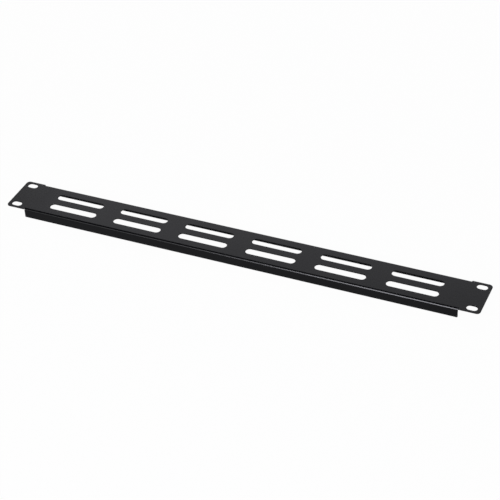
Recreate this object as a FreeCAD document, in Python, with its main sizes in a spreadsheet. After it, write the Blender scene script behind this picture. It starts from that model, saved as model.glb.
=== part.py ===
# Vented rack blanking panel, one unit high, for a 19-inch rack.
#
# The real panel is one sheet of steel. The blank is punched with ventilation slots and mounting holes,
# and slit at the four ends of its fold lines. Its two long edges are then folded back into flanges that
# keep the face flat. It is modelled the same way, as one body: the folded channel, a flat ear at each
# end, then the cuts, and last the rounding that punching and coating leave on every cut edge.
#
# Frame: the origin is the centre of the mounting holes, on the rear face that seats on the rack rails.
# +X runs along the panel, +Y across its face and +Z out of the front face, so the panel lies on the
# free edges of its flanges. All sizes are in millimetres.

import FreeCAD, Part
import math
import os
import Sketcher
from FreeCAD import Vector

doc = FreeCAD.newDocument("RackPanel")

# --- driving dimensions: name, size, what it is -------------------------------------------------------

DIMENSIONS = [
    ("panel_width", 482.6, "overall width of a 19-inch panel"),
    ("panel_height", 43.66, "one rack unit, less the gap to the next panel"),
    ("sheet_thickness", 0.9, "steel sheet with its coating"),
    ("ear_width", 20.05, "each flat end beyond the flanges, which lies on a rack rail"),
    ("flange_depth", 9.8, "front face to the free edge of a flange"),
    ("bend_radius", 1.3, "inside radius of each fold"),
    ("ear_corner_radius", 3.5, "outer corners of the two ears"),
    ("flange_corner_radius", 0.8, "free corners of each flange"),
    ("relief_width", 0.2, "slit between the end of a fold and the ear"),
    ("relief_margin", 0.4, "how far the slit runs on past the fold"),
    ("hole_from_end", 8.75, "centre of a mounting hole to the end of the panel"),
    ("hole_from_edge", 5.955, "centre of a mounting hole to the long edge of the panel"),
    ("hole_length", 10.3, "mounting hole, end to end"),
    ("hole_height", 6.6, "mounting hole, side to side"),
    ("slot_length", 50.0, "ventilation slot, end to end"),
    ("slot_height", 8.0, "ventilation slot, side to side"),
    ("slot_gap", 19.65, "metal between one slot and the next along a row"),
    ("row_gap", 8.0, "metal between the two rows of slots"),
    ("slots_per_row", 6, "ventilation slots in a row"),
    ("edge_radius", 0.2, "rounding of the cut edges"),
]

sheet = doc.addObject("Spreadsheet::Sheet", "Dim")
for row, (name, size, meaning) in enumerate(DIMENSIONS, start=1):
    sheet.set(f"A{row}", meaning)
    sheet.set(f"B{row}", str(size))
    sheet.setAlias(f"B{row}", name)
doc.recompute()

# Sizes that follow from those, as expressions of the sheet.
HALF_WIDTH = "Dim.panel_width / 2"
HALF_HEIGHT = "Dim.panel_height / 2"
FLANGE_LENGTH = "(Dim.panel_width - 2 * Dim.ear_width)"
FLANGE_END = f"{FLANGE_LENGTH} / 2"
FOLD_WIDTH = "(Dim.bend_radius + Dim.sheet_thickness)"  # from the outer edge to the flat of the face
SLIT_LENGTH = f"({FOLD_WIDTH} + Dim.relief_margin)"
HOLE_SPACING_ACROSS = "(Dim.panel_width - 2 * Dim.hole_from_end)"
HOLE_SPACING_UP = "(Dim.panel_height - 2 * Dim.hole_from_edge)"
SLOT_ROW_RUN = "((Dim.slots_per_row - 1) * (Dim.slot_length + Dim.slot_gap))"  # first slot to last
ROW_SPACING = "(Dim.slot_height + Dim.row_gap)"

# --- helpers ------------------------------------------------------------------------------------------

START, END, CENTRE = range(1, 4)  # Sketcher's own numbers for the places on a line or an arc
X_AXIS, Y_AXIS = range(-1, -3, -1)  # and for the axes of a sketch
ORIGIN = (X_AXIS, START)


def value(expression):
    """The number that an expression gives with the sizes now in the sheet."""
    result = sheet.evalExpression(expression)
    return float(getattr(result, "Value", result))


def new_sketch(name, role):
    """An empty sketch on one of the body's own origin planes."""
    sketch = body.newObject("Sketcher::SketchObject", name)
    plane = next(item for item in body.Origin.OriginFeatures if item.Role == role)
    sketch.AttachmentSupport = [(plane, "")]
    sketch.MapMode = "FlatFace"
    return sketch


def line(sketch, start, end):
    return sketch.addGeometry(Part.LineSegment(Vector(*start), Vector(*end)), False)


def arc(sketch, centre, radius, start_angle, end_angle):
    circle = Part.Circle(Vector(*centre), Vector(0, 0, 1), radius)
    angles = (math.radians(start_angle), math.radians(end_angle))
    return sketch.addGeometry(Part.ArcOfCircle(circle, *angles), False)


def relate(sketch, kind, *places):
    """A geometric constraint, such as Tangent or Horizontal."""
    sketch.addConstraint(Sketcher.Constraint(kind, *places))


def dimension(sketch, name, kind, places, expression):
    """A named dimension of a sketch, bound to the sheet."""
    index = sketch.addConstraint(Sketcher.Constraint(kind, *places, value(expression)))
    sketch.renameConstraint(index, name)
    sketch.setExpression(f"Constraints.{name}", expression)


def draw_rectangle(sketch, left, right, bottom, top):
    """A rectangle whose four sides are placed by expressions of the sheet."""
    west, east, south, north = (value(place) for place in (left, right, bottom, top))
    corners = [(west, south), (east, south), (east, north), (west, north)]
    sides = [line(sketch, corners[index - 1], corners[index]) for index in range(len(corners))]
    for index, side in enumerate(sides):
        relate(sketch, "Coincident", sides[index - 1], END, side, START)
        relate(sketch, "Horizontal" if index % 2 else "Vertical", side)
    dimension(sketch, "left", "DistanceX", (*ORIGIN, sides[0], START), left)
    dimension(sketch, "right", "DistanceX", (*ORIGIN, sides[2], START), right)
    dimension(sketch, "bottom", "DistanceY", (*ORIGIN, sides[1], START), bottom)
    dimension(sketch, "top", "DistanceY", (*ORIGIN, sides[3], START), top)


def draw_slot(sketch, centre_x, centre_y, length, height):
    """A slot along X with round ends. Its places and sizes are expressions of the sheet."""
    run = f"({length} - {height})"  # between the centres of its two round ends
    x, y = value(centre_x), value(centre_y)
    half_run, radius = value(run) / 2, value(height) / 2
    right = arc(sketch, (x + half_run, y), radius, -90, 90)
    upper = line(sketch, (x + half_run, y + radius), (x - half_run, y + radius))
    left = arc(sketch, (x - half_run, y), radius, 90, 270)
    lower = line(sketch, (x - half_run, y - radius), (x + half_run, y - radius))
    relate(sketch, "Tangent", right, END, upper, START)
    relate(sketch, "Tangent", upper, END, left, START)
    relate(sketch, "Tangent", left, END, lower, START)
    relate(sketch, "Tangent", lower, END, right, START)
    relate(sketch, "Horizontal", upper)
    relate(sketch, "Equal", left, right)
    dimension(sketch, "radius", "Radius", (right,), f"{height} / 2")
    dimension(sketch, "run", "DistanceX", (left, CENTRE, right, CENTRE), run)
    dimension(sketch, "right_x", "DistanceX", (*ORIGIN, right, CENTRE), f"{centre_x} + {run} / 2")
    dimension(sketch, "centre_y", "DistanceY", (*ORIGIN, right, CENTRE), centre_y)


def pad(name, sketch, length, side_type):
    """A pad of a sketch, either One side or Symmetric."""
    feature = body.newObject("PartDesign::Pad", name)
    feature.Profile = sketch
    feature.SideType = side_type
    feature.setExpression("Length", length)
    return feature


def cut_through(name, sketch):
    """A pocket from the rear face out through the front face."""
    pocket = body.newObject("PartDesign::Pocket", name)
    pocket.Profile = sketch
    pocket.Reversed = True
    pocket.setExpression("Length", "Dim.sheet_thickness")
    return pocket


def repeat(name, feature, count, run, rise):
    """Copies of a feature in two rows: count of them over a run towards -X, and a rise apart."""
    pattern = body.newObject("PartDesign::LinearPattern", name)
    pattern.Originals = [feature]
    pattern.Direction = (feature.Profile[0], ["H_Axis"])
    pattern.Reversed = True
    pattern.setExpression("Occurrences", count)
    pattern.setExpression("Length", run)
    pattern.Direction2 = (feature.Profile[0], ["V_Axis"])
    pattern.Reversed2 = True
    pattern.Occurrences2 = 2
    pattern.setExpression("Length2", rise)
    body.Tip = pattern
    return pattern


def round_edges(name, radius, wanted):
    """A fillet along every edge of the body so far that the function wanted accepts."""
    doc.recompute()
    solid = body.Tip
    edges = [f"Edge{number}" for number, edge in enumerate(solid.Shape.Edges, start=1) if wanted(edge)]
    fillet = body.newObject("PartDesign::Fillet", name)
    fillet.Base = (solid, edges)
    fillet.setExpression("Radius", radius)
    return fillet


# --- the folded sheet ---------------------------------------------------------------------------------

body = doc.addObject("PartDesign::Body", "VentedPanel")
body.Label = "vented_panel"


def draw_folded_section(sketch):
    """The section across the panel: the flat face, the two folds and the two flanges."""
    half = value(HALF_HEIGHT)
    gauge = value("Dim.sheet_thickness")
    inner = value("Dim.bend_radius")
    flat = half - value(FOLD_WIDTH)
    free_edge = gauge - value("Dim.flange_depth")

    rear = line(sketch, (-flat, 0), (flat, 0))
    front = line(sketch, (-flat, gauge), (flat, gauge))
    relate(sketch, "PointOnObject", rear, START, X_AXIS)
    relate(sketch, "Horizontal", rear)
    relate(sketch, "Horizontal", front)

    # Side by side: which way the flange lies, the end of the face that it joins, the sweep of the
    # fold, and the ends of the fold's arcs at the face and at the flange.
    outer_edges, inner_arcs = [], []
    for side, face_end, sweep, at_face, at_flange in (
        (-1, START, (90, 180), START, END),
        (1, END, (0, 90), END, START),
    ):
        outer_arc = arc(sketch, (side * flat, -inner), inner + gauge, *sweep)
        inner_arc = arc(sketch, (side * flat, -inner), inner, *sweep)
        outside = line(sketch, (side * half, -inner), (side * half, free_edge))
        inside = line(sketch, (side * (half - gauge), -inner), (side * (half - gauge), free_edge))
        edge = line(sketch, (side * half, free_edge), (side * (half - gauge), free_edge))
        relate(sketch, "Coincident", outer_arc, CENTRE, inner_arc, CENTRE)
        relate(sketch, "Tangent", front, face_end, outer_arc, at_face)
        relate(sketch, "Tangent", outer_arc, at_flange, outside, START)
        relate(sketch, "Tangent", rear, face_end, inner_arc, at_face)
        relate(sketch, "Tangent", inner_arc, at_flange, inside, START)
        relate(sketch, "Coincident", outside, END, edge, START)
        relate(sketch, "Coincident", inside, END, edge, END)
        relate(sketch, "Vertical", outside)
        relate(sketch, "Vertical", inside)
        relate(sketch, "Horizontal", edge)
        outer_edges.append((outside, END))
        inner_arcs.append(inner_arc)

    left_edge, right_edge = outer_edges
    relate(sketch, "Equal", *inner_arcs)
    relate(sketch, "Symmetric", *left_edge, *right_edge, Y_AXIS)
    dimension(sketch, "gauge", "DistanceY", (rear, START, front, START), "Dim.sheet_thickness")
    dimension(sketch, "bend", "Radius", (inner_arcs[0],), "Dim.bend_radius")
    dimension(sketch, "height", "DistanceX", (*left_edge, *right_edge), "Dim.panel_height")
    dimension(sketch, "depth", "DistanceY", (*left_edge, front, START), "Dim.flange_depth")


def draw_ear(sketch):
    """The flat ear beyond the flanges, with two rounded outer corners."""
    inner, outer = value(FLANGE_END), value(HALF_WIDTH)
    top, radius = value(HALF_HEIGHT), value("Dim.ear_corner_radius")

    root = line(sketch, (inner, top), (inner, -top))
    lower = line(sketch, (inner, -top), (outer - radius, -top))
    lower_corner = arc(sketch, (outer - radius, radius - top), radius, -90, 0)
    end = line(sketch, (outer, radius - top), (outer, top - radius))
    upper_corner = arc(sketch, (outer - radius, top - radius), radius, 0, 90)
    upper = line(sketch, (outer - radius, top), (inner, top))
    relate(sketch, "Coincident", root, END, lower, START)
    relate(sketch, "Tangent", lower, END, lower_corner, START)
    relate(sketch, "Tangent", lower_corner, END, end, START)
    relate(sketch, "Tangent", end, END, upper_corner, START)
    relate(sketch, "Tangent", upper_corner, END, upper, START)
    relate(sketch, "Coincident", upper, END, root, START)
    relate(sketch, "Horizontal", lower)
    relate(sketch, "Horizontal", upper)
    relate(sketch, "Vertical", end)
    relate(sketch, "Equal", lower_corner, upper_corner)
    relate(sketch, "Symmetric", root, START, root, END, X_AXIS)
    dimension(sketch, "corner", "Radius", (lower_corner,), "Dim.ear_corner_radius")
    dimension(sketch, "height", "DistanceY", (root, END, root, START), "Dim.panel_height")
    dimension(sketch, "root_x", "DistanceX", (*ORIGIN, root, START), FLANGE_END)
    dimension(sketch, "end_x", "DistanceX", (*ORIGIN, end, START), HALF_WIDTH)


section_sketch = new_sketch("FoldedSection", "YZ_Plane")
draw_folded_section(section_sketch)
pad("Channel", section_sketch, FLANGE_LENGTH, "Symmetric")

ear_sketch = new_sketch("EarOutline", "XY_Plane")
draw_ear(ear_sketch)
ear = pad("Ear", ear_sketch, "Dim.sheet_thickness", "One side")

other_ear = body.newObject("PartDesign::Mirrored", "OtherEar")
other_ear.Originals = [ear]
other_ear.MirrorPlane = (ear_sketch, ["V_Axis"])
body.Tip = other_ear

# --- the cuts -----------------------------------------------------------------------------------------

# A slit frees each end of a fold, so that the flange turns without tearing the ear.
slit_sketch = new_sketch("ReliefSlit", "XY_Plane")
draw_rectangle(
    slit_sketch,
    left=FLANGE_END,
    right=f"{FLANGE_END} + Dim.relief_width",
    bottom=f"{HALF_HEIGHT} - {SLIT_LENGTH}",
    top=HALF_HEIGHT,
)
repeat(
    "ReliefSlits",
    cut_through("ReliefCut", slit_sketch),
    count="2",
    run=f"{FLANGE_LENGTH} + Dim.relief_width",
    rise=f"Dim.panel_height - {SLIT_LENGTH}",
)

# The mounting holes are longer than the screws are wide, so that the panel can be shifted sideways.
hole_sketch = new_sketch("MountingHole", "XY_Plane")
draw_slot(
    hole_sketch,
    centre_x=f"{HOLE_SPACING_ACROSS} / 2",
    centre_y=f"{HOLE_SPACING_UP} / 2",
    length="Dim.hole_length",
    height="Dim.hole_height",
)
repeat(
    "MountingHoles",
    cut_through("MountingHoleCut", hole_sketch),
    count="2",
    run=HOLE_SPACING_ACROSS,
    rise=HOLE_SPACING_UP,
)

# The ventilation slots stand in two rows, one each side of the middle of the face.
slot_sketch = new_sketch("VentSlot", "XY_Plane")
draw_slot(
    slot_sketch,
    centre_x=f"{SLOT_ROW_RUN} / 2",
    centre_y=f"{ROW_SPACING} / 2",
    length="Dim.slot_length",
    height="Dim.slot_height",
)
repeat(
    "VentSlots",
    cut_through("VentSlotCut", slot_sketch),
    count="Dim.slots_per_row",
    run=SLOT_ROW_RUN,
    rise=ROW_SPACING,
)

# --- corners and edges --------------------------------------------------------------------------------

SAME_PLACE = 1e-4  # two coordinates this close are the same


def lies_at_height(edge, height):
    """Whether an edge lies flat at one height."""
    box = edge.BoundBox
    return abs(box.ZMin - height) < SAME_PLACE and abs(box.ZMax - height) < SAME_PLACE


def is_flange_corner(edge):
    """The short edge across the sheet at a free corner of a flange."""
    across = edge.BoundBox.XLength < SAME_PLACE
    return across and lies_at_height(edge, value("Dim.sheet_thickness - Dim.flange_depth"))


def is_cut_edge(edge):
    """An edge round a cut, an ear or a slit, on either face. The longer ones are the lines of the folds."""
    on_a_face = lies_at_height(edge, 0) or lies_at_height(edge, value("Dim.sheet_thickness"))
    return on_a_face and edge.Length < value(FLANGE_LENGTH) - SAME_PLACE


round_edges("FlangeCorners", "Dim.flange_corner_radius", is_flange_corner)

# The rounding runs on by itself from the slits round the ends of the folds and along the flanges.
round_edges("CutEdges", "Dim.edge_radius", is_cut_edge)

# --- checks and export --------------------------------------------------------------------------------

doc.recompute()
faulty = [item.Name for item in doc.Objects if {"Invalid", "Error"} & set(item.State)]
if faulty:
    raise RuntimeError(f"these objects failed: {faulty}")
loose = [item.Name for item in doc.Objects if item.isDerivedFrom("Sketcher::SketchObject")
         and not item.FullyConstrained]
if loose:
    raise RuntimeError(f"these sketches can still move: {loose}")
if body.Shape.isNull() or not body.Shape.isValid() or len(body.Shape.Solids) != 1:
    raise RuntimeError("the folded sheet is not one valid solid")

os.makedirs("parts", exist_ok=True)
body.Shape.exportStep(f"parts/{body.Label}.step")
print(f"{body.Label}: {body.Shape.Volume:.1f} mm3, {len(body.Shape.Faces)} faces")
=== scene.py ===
# %% [markdown]
# # A vented blanking panel for a 19-inch rack
#
# A blanking panel closes one unit of a rack where no equipment is mounted. It is
# cut from one piece of thin steel sheet, its two long edges are folded back into
# stiffening flanges, two rows of long slots let air through, and the whole piece is
# then powder coated black.
#
# The shape comes from the CAD model, in metres, with the origin in the middle of
# the four mounting holes, on the rear of the sheet: x runs along the panel, y across
# it, and z out of its front face. Here it lies on the free edges of its flanges,
# face up. What is left for this lesson is the coating, the set that the panel lies
# on, the lamps and the camera.

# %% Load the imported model
from math import asin, cos, degrees, pi, radians, sin

import bpy
import numpy as np
from mathutils import Matrix, Vector


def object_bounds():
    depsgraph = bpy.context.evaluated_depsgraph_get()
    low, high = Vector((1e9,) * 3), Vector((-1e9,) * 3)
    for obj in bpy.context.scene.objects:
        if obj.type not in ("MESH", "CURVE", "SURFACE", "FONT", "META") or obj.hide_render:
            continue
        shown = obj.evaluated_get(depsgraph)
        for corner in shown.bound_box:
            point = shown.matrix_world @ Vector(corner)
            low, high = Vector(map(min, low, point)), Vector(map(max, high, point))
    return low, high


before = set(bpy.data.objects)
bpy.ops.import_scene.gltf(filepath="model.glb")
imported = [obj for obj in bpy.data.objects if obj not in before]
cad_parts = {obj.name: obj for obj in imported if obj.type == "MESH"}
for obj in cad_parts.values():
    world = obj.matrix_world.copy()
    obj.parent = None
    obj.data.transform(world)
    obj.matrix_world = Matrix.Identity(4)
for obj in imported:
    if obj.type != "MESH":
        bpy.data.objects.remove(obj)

MM = 0.001
cad_low, cad_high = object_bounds()
print("CAD box in mm:", [round(side / MM, 2) for side in cad_high - cad_low])

# %% [markdown]
# ## The folded sheet
#
# The real panel is one piece of sheet, and the model is one solid. A Bevel modifier
# could round its edges, but the CAD model has done so: the folds are true arcs, and
# every cut edge of the front is slightly rounded. So the mesh stays as it is.
#
# Two of its sizes are measured, because the coating follows them. Only the flanges
# reach down past the middle of the height, so the farthest of those points is where
# a flange ends. Within that length the flat of the face stops where a fold starts,
# and what is left from there to the side of the panel is the fold's outer radius.
#
# A long straight edge has points at its two ends only, and here these lie at the
# very end of the flange. So the search runs to just past it, into the narrow slit
# that parts the flange from the ear.

# %% Measure the sheet
SAME_HEIGHT = 0.001 * MM
INTO_SLIT = 0.05 * MM

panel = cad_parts["vented_panel"]
points = np.empty(len(panel.data.vertices) * 3, np.float32)
panel.data.vertices.foreach_get("co", points)
points = points.reshape(-1, 3)

low_down = points[:, 2] < (cad_low.z + cad_high.z) / 2
fold_end = float(np.abs(points[low_down, 0]).max()) + INTO_SLIT
on_face = np.isclose(points[:, 2], cad_high.z, atol=SAME_HEIGHT)
beside_fold = np.abs(points[:, 0]) < fold_end
face_side = float(np.abs(points[on_face & beside_fold, 1]).max())
fold_radius = cad_high.y - face_side
print("the folds end by x =", round(fold_end / MM, 2), "mm")
print("the outer radius of a fold is", round(fold_radius / MM, 2), "mm")

# %% [markdown]
# ## Two helpers for materials
#
# Colours are written as in any paint program, as sRGB hex values, and one function
# turns them into the linear values that the shader works with. A second function
# adds a node with its settings, its fixed values and its links, so that each
# material below reads as a list of what feeds what.

# %% Colour and node helpers
SRGB_STRAIGHT_END = 0.04045
SRGB_STRAIGHT_SLOPE = 12.92
SRGB_OFFSET = 0.055
SRGB_POWER = 2.4


def linear(hex_colour):
    """A colour such as "#202122" as linear RGBA.

    Each channel c from 0 to 1 becomes c / 12.92 near black, and otherwise
    ((c + 0.055) / 1.055) to the power 2.4.
    """
    c = np.frombuffer(bytes.fromhex(hex_colour.lstrip("#")), np.uint8) / 255
    curve = ((c + SRGB_OFFSET) / (1 + SRGB_OFFSET)) ** SRGB_POWER
    rgb = np.where(c <= SRGB_STRAIGHT_END, c / SRGB_STRAIGHT_SLOPE, curve)
    return [*rgb.tolist(), 1.0]


def add_node(tree, kind, settings=None, values=None, links=None):
    """A new node of that kind: its settings, the values of its inputs, and the
    outputs of other nodes that are linked to its inputs."""
    node = tree.nodes.new(kind)
    for name, setting in (settings or {}).items():
        setattr(node, name, setting)
    for name, value in (values or {}).items():
        node.inputs[name].default_value = value
    for name, output in (links or {}).items():
        tree.links.new(output, node.inputs[name])
    return node


def new_material(name):
    """An empty node material, and its tree."""
    material = bpy.data.materials.new(name)
    material.use_nodes = True
    material.node_tree.nodes.clear()
    return material, material.node_tree


print("a mid grey is", round(linear("#808080")[0], 3), "in linear light")

# %% [markdown]
# ## Powder-coated steel
#
# Powder coating is dry resin powder that is charged, sprayed on to the earthed steel
# and melted in an oven. The grains flow together into a film about 0.08 mm thick,
# which never gets quite flat. Five things reach the eye:
#
# - the melted grains leave a fine, even texture, which helps to make it matt;
# - the film itself is slightly wavy, with hills a few millimetres apart, known as
#   orange peel;
# - over centimetres the film is a little thicker here and thinner there, and that
#   shifts its depth of black and its gloss by a hair;
# - powder hardly reaches the inside of a channel, and it draws back from a sharp
#   edge as it melts, so in both places the film is thin and dull;
# - the crown of each fold carries a painted highlight: a clear coat there mirrors
#   more strongly than the flat does.
#
# An image could hold such patterns. Noise textures make them without seams, and
# stay sharp in close views.
#
# The grains are about 0.15 mm wide. At the distance of the camera that is far too
# fine to show, so the grain is drawn at 0.9 mm, which is as coarse as it needs to be
# to show at all. The heights of the grain and of the orange peel are given.

# %% The film's uneven surface
GRAIN_WIDTH = 0.9 * MM
GRAIN_HEIGHT = 0.012 * MM
GRAIN_DETAIL = 2.0
PEEL_WIDTH = 3.0 * MM
PEEL_HEIGHT = 0.016 * MM
PEEL_DETAIL = 1.0
DRIFT_WIDTH = 45 * MM
DRIFT_DETAIL = 2.0
FINER_SHARE = 0.5

coat, tree = new_material("powder_coated_steel_matt_black")
place = add_node(tree, "ShaderNodeTexCoord")
noises = {}
for name, width, detail in (
    ("grain", GRAIN_WIDTH, GRAIN_DETAIL),
    ("peel", PEEL_WIDTH, PEEL_DETAIL),
    ("drift", DRIFT_WIDTH, DRIFT_DETAIL),
):
    noises[name] = add_node(
        tree,
        "ShaderNodeTexNoise",
        values={"Scale": 1 / width, "Detail": detail, "Roughness": FINER_SHARE},
        links={"Vector": place.outputs["Object"]},
    ).outputs["Fac"]
    print(name, "is", round(width / MM, 2), "mm wide")

waves = add_node(
    tree,
    "ShaderNodeBump",
    values={"Strength": 1.0, "Distance": PEEL_HEIGHT},
    links={"Height": noises["peel"]},
)
texture = add_node(
    tree,
    "ShaderNodeBump",
    values={"Strength": 1.0, "Distance": GRAIN_HEIGHT},
    links={"Height": noises["grain"], "Normal": waves.outputs["Normal"]},
)

# %% Its black and its gloss drift
COAT_BLACK = "#0d0d0f"
COAT_PALER_BLACK = "#111113"
COAT_ROUGHNESS = (0.22, 0.26)
DRIFT_RANGE = (0.3, 0.7)

tone = add_node(tree, "ShaderNodeValToRGB", links={"Fac": noises["drift"]})
for stop, position, colour in zip(
    tone.color_ramp.elements, DRIFT_RANGE, (COAT_BLACK, COAT_PALER_BLACK)
):
    stop.position = position
    stop.color = linear(colour)

gloss = add_node(
    tree,
    "ShaderNodeMapRange",
    values={
        "From Min": DRIFT_RANGE[0],
        "From Max": DRIFT_RANGE[1],
        "To Min": COAT_ROUGHNESS[0],
        "To Max": COAT_ROUGHNESS[1],
    },
    links={"Value": noises["drift"]},
)
print("roughness drifts from", COAT_ROUGHNESS[0], "to", COAT_ROUGHNESS[1])

# %% [markdown]
# ### Where the film is thin
#
# A mask for the thin film could be painted by hand. It is worked out from the shape
# instead, so it stays in place when a size changes.
#
# Seen from its end, the outer skin is face, fold and flange. Take how far a point
# lies past the centre of the fold, once towards the side and once towards the face,
# and count what is less than zero as zero. The length of that pair is the fold's
# radius anywhere on the outer skin, and smaller under it. The ears have no fold, so
# there the way to the side counts as zero.
#
# The Clamp setting of a Math node keeps its result from 0 to 1. Lengths are in
# metres and far below 1 here, so all that it does is to turn what is less than zero
# into zero.

# %% How far past the centre of the fold
where = add_node(tree, "ShaderNodeSeparateXYZ", links={"Vector": place.outputs["Object"]})
along = add_node(tree, "ShaderNodeMath", {"operation": "ABSOLUTE"}, links={0: where.outputs["X"]})
across = add_node(tree, "ShaderNodeMath", {"operation": "ABSOLUTE"}, links={0: where.outputs["Y"]})
folded = add_node(
    tree,
    "ShaderNodeMath",
    {"operation": "LESS_THAN"},
    values={1: fold_end},
    links={0: along.outputs["Value"]},
)
past_side = add_node(
    tree,
    "ShaderNodeMath",
    {"operation": "SUBTRACT", "use_clamp": True},
    values={1: cad_high.y - fold_radius},
    links={0: across.outputs["Value"]},
)
to_side = add_node(
    tree,
    "ShaderNodeMath",
    {"operation": "MULTIPLY"},
    links={0: folded.outputs["Value"], 1: past_side.outputs["Value"]},
)
to_face = add_node(
    tree,
    "ShaderNodeMath",
    {"operation": "SUBTRACT", "use_clamp": True},
    values={1: cad_high.z - fold_radius},
    links={0: where.outputs["Z"]},
)
fold_centre = [cad_high.y - fold_radius, cad_high.z - fold_radius]
print("centre of a fold, across and up, in mm:", [round(v / MM, 2) for v in fold_centre])

# %% A thin film is dull
SKIN_DEPTH = 0.02 * MM
THIN_DEPTH = 0.15 * MM
THIN_ROUGHNESS = 0.8

pair = add_node(
    tree,
    "ShaderNodeCombineXYZ",
    links={"Y": to_side.outputs["Value"], "Z": to_face.outputs["Value"]},
)
reach = add_node(
    tree,
    "ShaderNodeVectorMath",
    {"operation": "LENGTH"},
    links={0: pair.outputs["Vector"]},
)
thin = add_node(
    tree,
    "ShaderNodeMapRange",
    values={
        "From Min": fold_radius - SKIN_DEPTH,
        "From Max": fold_radius - THIN_DEPTH,
        "To Min": 0.0,
        "To Max": 1.0,
    },
    links={"Value": reach.outputs["Value"]},
)
dullness = add_node(
    tree,
    "ShaderNodeMapRange",
    values={"To Max": THIN_ROUGHNESS},
    links={"Value": thin.outputs["Result"], "To Min": gloss.outputs["Result"]},
)
print("fully dull from", round(THIN_DEPTH / MM, 2), "mm under the outer skin")

# %% [markdown]
# ### A painted highlight on the crown of a fold
#
# The same two distances find the crown. On the skin of the fold they are the radius
# times the sine and the cosine of the angle round it. So their product, in squared
# radii, is zero where the fold starts and ends, and one half in the middle.
#
# The shader's clear coat lays a second mirror over the first. Here it is a painted
# highlight: it makes the crown mirror the front softbox more brightly than the flat
# does. It is about as rough as the film round it, and only mirrors more strongly.

# %% The painted highlight on the crown
CROWN_START = 0.35
CROWN_FULL = 0.5

crown = add_node(
    tree,
    "ShaderNodeMath",
    {"operation": "MULTIPLY"},
    links={0: to_side.outputs["Value"], 1: to_face.outputs["Value"]},
)
# Clear coat weight that paints a highlight along the crown of each fold.
crown_painted_highlight = add_node(
    tree,
    "ShaderNodeMapRange",
    values={
        "From Min": CROWN_START * fold_radius**2,
        "From Max": CROWN_FULL * fold_radius**2,
        "To Min": 0.0,
        "To Max": 1.0,
    },
    links={"Value": crown.outputs["Value"]},
)
crown_angle = degrees(asin(2 * CROWN_START)) / 2
print("the crown starts", round(crown_angle, 1), "degrees round the fold")

# %% [markdown]
# ### The coating put together
#
# Most resins have an IOR of about 1.5, and so has this one. Mirror rays find a floor
# and a world on all sides that are as white as the background, and at the usual
# specular level of one half they would turn the black to grey. So the level is
# brought down until the face has its own dark tone.

# %% Powder-coated steel
COAT_IOR = 1.5
COAT_SPECULAR = 0.075
# Roughness of the clear coat that paints the highlight on the crowns.
CROWN_HIGHLIGHT_ROUGHNESS = 0.24

film = add_node(
    tree,
    "ShaderNodeBsdfPrincipled",
    values={
        "IOR": COAT_IOR,
        "Specular IOR Level": COAT_SPECULAR,
        "Metallic": 0.0,
        "Coat IOR": COAT_IOR,
        "Coat Roughness": CROWN_HIGHLIGHT_ROUGHNESS,
    },
    links={
        "Base Color": tone.outputs["Color"],
        "Roughness": dullness.outputs["Result"],
        # The clear coat's weight paints the highlight along the crown of each fold.
        "Coat Weight": crown_painted_highlight.outputs["Result"],
        "Normal": texture.outputs["Normal"],
        "Coat Normal": texture.outputs["Normal"],
    },
)
add_node(tree, "ShaderNodeOutputMaterial", links={"Surface": film.outputs["BSDF"]})

for slot in panel.material_slots:
    slot.material = coat
print("coating:", coat.name, "with", len(tree.nodes), "nodes")

# %% [markdown]
# ## Floor and world
#
# The set is a plain white floor that runs on into a plain white world. Lit by the
# lamps alone the floor would be grey, and more lamp light would burn out the
# object. So the floor and the world are drawn white only for rays that come from
# the camera, or from it by way of a mirror or glass, and every other ray finds an
# ordinary floor under an ordinary sky. A small share of the floor's look stays lit
# by the lamps, and the object's soft shadow shows in it.

# %% The world
WHITE = [1.0, 1.0, 1.0, 1.0]
WORLD_LIGHT = 0.5


def seen_from_camera(tree):
    """1 for a ray from the camera, or from it by a mirror or through glass, else 0."""
    path = add_node(tree, "ShaderNodeLightPath")
    seen = path.outputs["Is Camera Ray"]
    for name in ("Is Glossy Ray", "Is Transmission Ray"):
        either = add_node(
            tree,
            "ShaderNodeMath",
            {"operation": "MAXIMUM"},
            links={0: seen, 1: path.outputs[name]},
        )
        seen = either.outputs["Value"]
    return seen


world = bpy.data.worlds.new("white_studio")
world.use_nodes = True
world.node_tree.nodes.clear()
strength = add_node(
    world.node_tree,
    "ShaderNodeMapRange",
    values={"To Min": WORLD_LIGHT, "To Max": 1.0},
    links={"Value": seen_from_camera(world.node_tree)},
)
sky = add_node(
    world.node_tree,
    "ShaderNodeBackground",
    values={"Color": WHITE},
    links={"Strength": strength.outputs["Result"]},
)
add_node(world.node_tree, "ShaderNodeOutputWorld", links={"Surface": sky.outputs["Background"]})
bpy.context.scene.world = world
print("the world lights the object at a strength of", WORLD_LIGHT)

# %% The floor's white paper
FLOOR_COLOUR = "#f2f2f2"
FLOOR_LIT_SHARE = 0.025

paper, tree = new_material("white_studio_floor")
lit = add_node(tree, "ShaderNodeBsdfDiffuse", values={"Color": linear(FLOOR_COLOUR)})
white = add_node(tree, "ShaderNodeEmission", values={"Color": WHITE, "Strength": 1.0})
share = add_node(
    tree,
    "ShaderNodeMapRange",
    values={"To Min": 0.0, "To Max": 1.0 - FLOOR_LIT_SHARE},
    links={"Value": seen_from_camera(tree)},
)
look = add_node(
    tree,
    "ShaderNodeMixShader",
    links={0: share.outputs["Result"], 1: lit.outputs["BSDF"], 2: white.outputs["Emission"]},
)
add_node(tree, "ShaderNodeOutputMaterial", links={"Surface": look.outputs["Shader"]})
print("for the camera", FLOOR_LIT_SHARE, "of the floor's look is lit by the lamps")

# %% The floor
FLOOR_SIZE = 12.0


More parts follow.
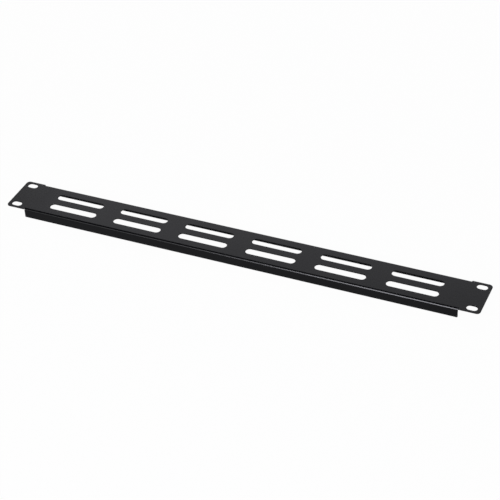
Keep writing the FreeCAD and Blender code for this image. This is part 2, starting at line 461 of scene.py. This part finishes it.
def flat_piece(name, centre, width, depth, material):
    """A level rectangle: its corners are the centre plus or minus half of each side."""
    signs = np.array([[-1, -1], [1, -1], [1, 1], [-1, 1]]) / 2
    corners = np.zeros((4, 3))
    corners[:, :2] = signs * [width, depth]
    mesh = bpy.data.meshes.new(name)
    mesh.from_pydata((corners + centre).tolist(), [], [[0, 1, 2, 3]])
    mesh.materials.append(material)
    piece = bpy.data.objects.new(name, mesh)
    bpy.context.scene.collection.objects.link(piece)
    return piece


flat_piece("studio_floor", [0, 0, cad_low.z], FLOOR_SIZE, FLOOR_SIZE, paper)
print("floor at z =", round(cad_low.z / MM, 2), "mm")

# %% [markdown]
# ## A black flag overhead
#
# Something black is lit by drawing its edges with reflections. The face mirrors what
# is behind the panel, the flange mirrors the floor in front, and the fold between
# them mirrors everything overhead. A black cloth on a frame, which is called a flag,
# hangs over the set. The top of the fold mirrors it, and so a dark line parts the
# face from the flange. The camera itself doesn't see the flag.

# %% The flag
FLAG_HEIGHT = 2.0
FLAG_MIDDLE = -0.35
FLAG_WIDTH = 5.0
FLAG_DEPTH = 4.3
FLAG_COLOUR = "#050505"

velvet, tree = new_material("black_velvet_cloth")
nap = add_node(tree, "ShaderNodeBsdfDiffuse", values={"Color": linear(FLAG_COLOUR)})
add_node(tree, "ShaderNodeOutputMaterial", links={"Surface": nap.outputs["BSDF"]})
flag = flat_piece("black_flag", [0, FLAG_MIDDLE, FLAG_HEIGHT], FLAG_WIDTH, FLAG_DEPTH, velvet)
flag.visible_camera = False
print("flag:", FLAG_WIDTH, "by", FLAG_DEPTH, "m,", FLAG_HEIGHT, "m up")

# %% [markdown]
# ## Softboxes
#
# Two softboxes do the rest. A wide one stands behind the panel, where the face
# mirrors it towards the camera: it gives the matt black face its even dark grey. A
# tall, narrow one stands in front and left of the middle. The crown of the near fold
# mirrors it as a thin line of light, which is strongest at the right end and fades
# to the left. A sky image could light the panel too, but two plain lamps are easier
# to move until each reflection falls where it should.
#
# A softbox is easiest to set by how bright its cloth looks, so the helper takes that
# and works out the lamp's power: radiance times area times pi.

# %% The two softboxes
LAMP_COLOUR = "#f6f6ff"


def softbox(name, centre, aim, width, height, radiance):
    """A rectangular area lamp at centre that faces aim and looks radiance bright."""
    lamp = bpy.data.lights.new(name, "AREA")
    lamp.color = linear(LAMP_COLOUR)[:3]
    lamp.shape = "RECTANGLE"
    lamp.size = width
    lamp.size_y = height
    lamp.energy = radiance * width * height * pi
    piece = bpy.data.objects.new(name, lamp)
    piece.location = centre
    away = Vector(aim) - Vector(centre)
    piece.rotation_euler = away.to_track_quat("-Z", "Y").to_euler()
    piece.visible_camera = False
    bpy.context.scene.collection.objects.link(piece)
    rise = degrees(asin(-away.z / away.length))
    print(name, "gives", round(lamp.energy, 1), "W from", round(rise), "degrees up")
    return piece


softbox(
    "softbox_behind",
    centre=(-0.41, 1.30, 0.92),
    aim=(0, 0, 0),
    width=1.30,
    height=0.50,
    radiance=2.1,
)
softbox(
    "softbox_front",
    centre=(-0.195, -1.40, 0.89),
    aim=(0.15, 0, 0),
    width=0.55,
    height=1.00,
    radiance=10,
)

# %% [markdown]
# ## Camera
#
# The camera looks at the panel from its front right and from above, with a long
# lens, and is turned a little about its own axis. Its place is given as an aim point
# on the face, two angles and a distance, and its three axes are then worked out:
# back points from the aim point to the camera, right lies level, and up completes
# them.

# %% The camera
AIM = Vector((13.49, -6.22, 0.90)) * MM
AZIMUTH = radians(25.11)
ELEVATION = radians(37.10)
ROLL = radians(-2.90)
DISTANCE = 1507.3 * MM
FOCAL_LENGTH_MM = 115.68
SENSOR_WIDTH_MM = 36.0
NEAREST_SEEN = 0.05
FARTHEST_SEEN = 50.0

back = Vector((sin(AZIMUTH) * cos(ELEVATION), -cos(AZIMUTH) * cos(ELEVATION), sin(ELEVATION)))
level_right = Vector((cos(AZIMUTH), sin(AZIMUTH), 0))
level_up = back.cross(level_right)
right = level_right * cos(ROLL) + level_up * sin(ROLL)
up = level_up * cos(ROLL) - level_right * sin(ROLL)

lens = bpy.data.cameras.new("studio_camera")
lens.lens = FOCAL_LENGTH_MM
lens.sensor_width = SENSOR_WIDTH_MM
lens.clip_start = NEAREST_SEEN
lens.clip_end = FARTHEST_SEEN
camera = bpy.data.objects.new("studio_camera", lens)
axes = Matrix((right, up, back)).transposed().to_4x4()
camera.matrix_world = Matrix.Translation(AIM + back * DISTANCE) @ axes
bpy.context.scene.collection.objects.link(camera)
bpy.context.scene.camera = camera
bpy.context.scene.view_settings.view_transform = "Standard"
print("camera at", [round(value, 3) for value in camera.matrix_world.translation], "m")

# %% [markdown]
# ## Finish
#
# The view layer is brought up to date.

# %% The last call
bpy.context.view_layer.update()
